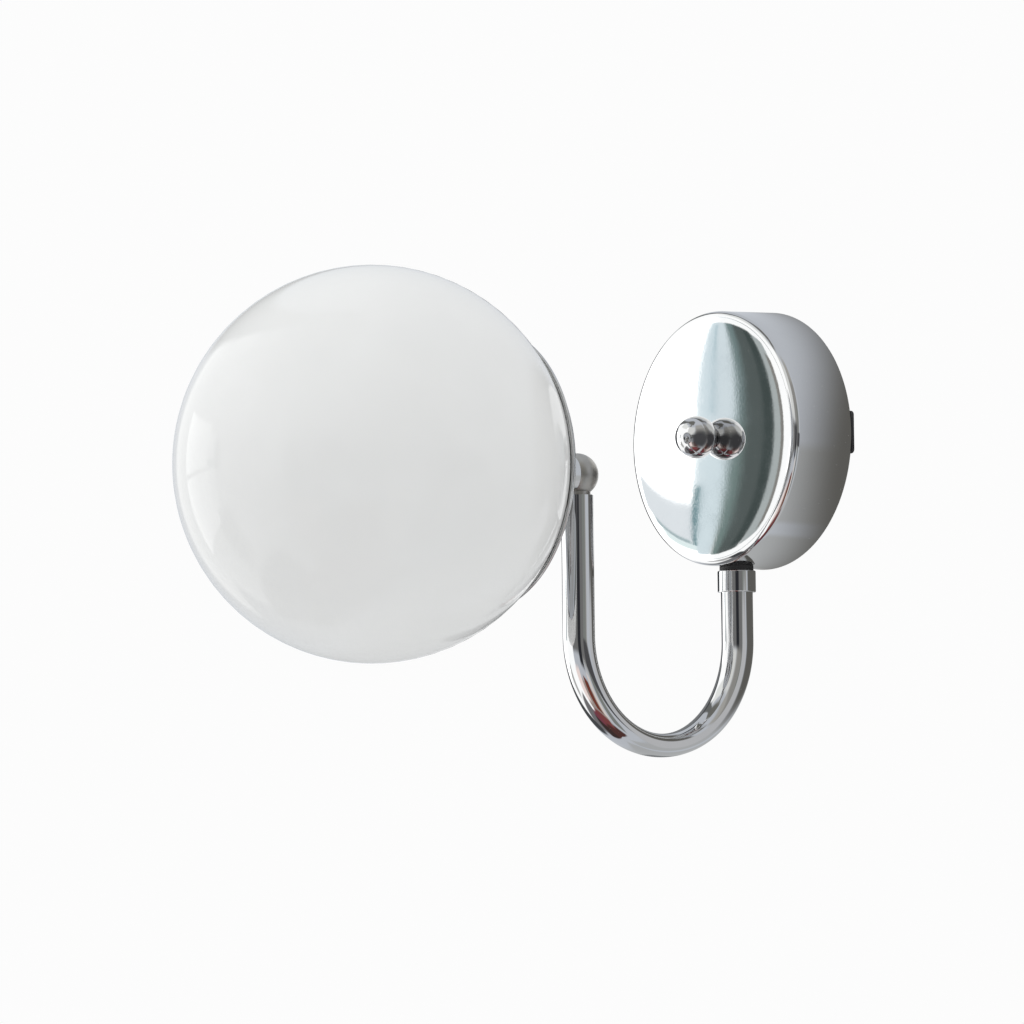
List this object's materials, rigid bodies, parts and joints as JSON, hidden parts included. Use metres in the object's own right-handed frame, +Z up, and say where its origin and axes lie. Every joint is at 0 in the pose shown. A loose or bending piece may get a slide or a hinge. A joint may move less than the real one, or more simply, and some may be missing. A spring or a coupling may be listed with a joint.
{
  "type": "globe wall sconce",
  "caption": "Wall sconce with a round canopy, a return-bent tube arm, a ball knuckle and an opal glass globe in a shallow dish.",
  "frame": {"origin": "centre of the wall strip's rear face, on the canopy's axis", "axes": "+Z up, the wall is the plane y = 0 and the lamp stands out towards -Y, x = 0 is the plane of symmetry"},
  "size_m": [0.18, 0.3261, 0.22],
  "materials": {
    "chrome": "bright chrome plate",
    "black_steel": "satin black paint",
    "zinc_steel": "bright zinc plate",
    "spring_steel": "tempered strip, lightly oiled",
    "black_rubber": "matt moulded rubber",
    "clear_silicone": "milky silicone",
    "opal_glass": "glossy blown opal glass",
    "holder_plastic": "satin thermoset",
    "holder_ceramic": "unglazed steatite white",
    "brass": "plain brass",
    "nickel": "nickel plate",
    "lamp_housing_plastic": "matt white moulding",
    "lamp_diffuser": "milky diffuser",
    "block_plastic": "natural white polyamide",
    "brown_insulation": "satin insulation",
    "blue_insulation": "satin insulation",
    "earth_insulation": "satin insulation, green with a yellow stripe"
  },
  "bodies": {
    "wall_unit": {"canopy": "chrome", "arm_collar": "chrome", "arm_tube": "chrome", "ball_knuckle": "chrome", "neck_collar": "chrome", "globe_dish": "chrome", "wall_bracket": "black_steel", "centre_stud": "zinc_steel", "stud_washer": "zinc_steel", "stud_nut": "zinc_steel", "inner_saddle": "zinc_steel", "arm_washer": "zinc_steel", "arm_nut": "zinc_steel", "arm_nipple": "zinc_steel", "tube_bush": "zinc_steel", "knuckle_nipple": "zinc_steel", "neck_nipple": "zinc_steel", "dish_washer": "zinc_steel", "dish_nut": "zinc_steel", "clip_plate": "zinc_steel", "clip_rivets": "zinc_steel", "earth_screw": "zinc_steel", "earth_ring": "zinc_steel", "terminal_screws": "zinc_steel", "holder_screws": "zinc_steel", "spring_clip_1": "spring_steel", "spring_clip_2": "spring_steel", "spring_clip_3": "spring_steel", "outer_saddle": "black_rubber", "dish_gasket": "clear_silicone", "holder_cap": "holder_plastic", "holder_skirt": "holder_plastic", "holder_insulator": "holder_ceramic", "screw_shell": "brass", "centre_contact": "brass", "terminal_tubes": "brass", "terminal_block": "block_plastic", "live_wire": "brown_insulation", "neutral_wire": "blue_insulation", "earth_wire": "earth_insulation"},
    "finial": {"finial_ball": "chrome"},
    "globe": {"glass_globe": "opal_glass"},
    "lamp": {"lamp_tip_contact": "nickel", "lamp_cap": "nickel", "lamp_housing": "lamp_housing_plastic", "lamp_dome": "lamp_diffuser"}
  },
  "joints": [
    {"name": "finial_turn", "type": "hinge", "parent": "wall_unit", "child": "finial", "pos_m": [0, -0.0451, 0], "axis": [0, 1, 0], "continuous": true},
    {"name": "globe_pull", "type": "slide", "parent": "wall_unit", "child": "globe", "axis": [0, -1, 0], "range_m": [0, 0.13]},
    {"name": "lamp_turn", "type": "hinge", "parent": "wall_unit", "child": "lamp", "pos_m": [0, -0.2361, -0.0207], "axis": [0, 1, 0], "continuous": true}
  ]
}
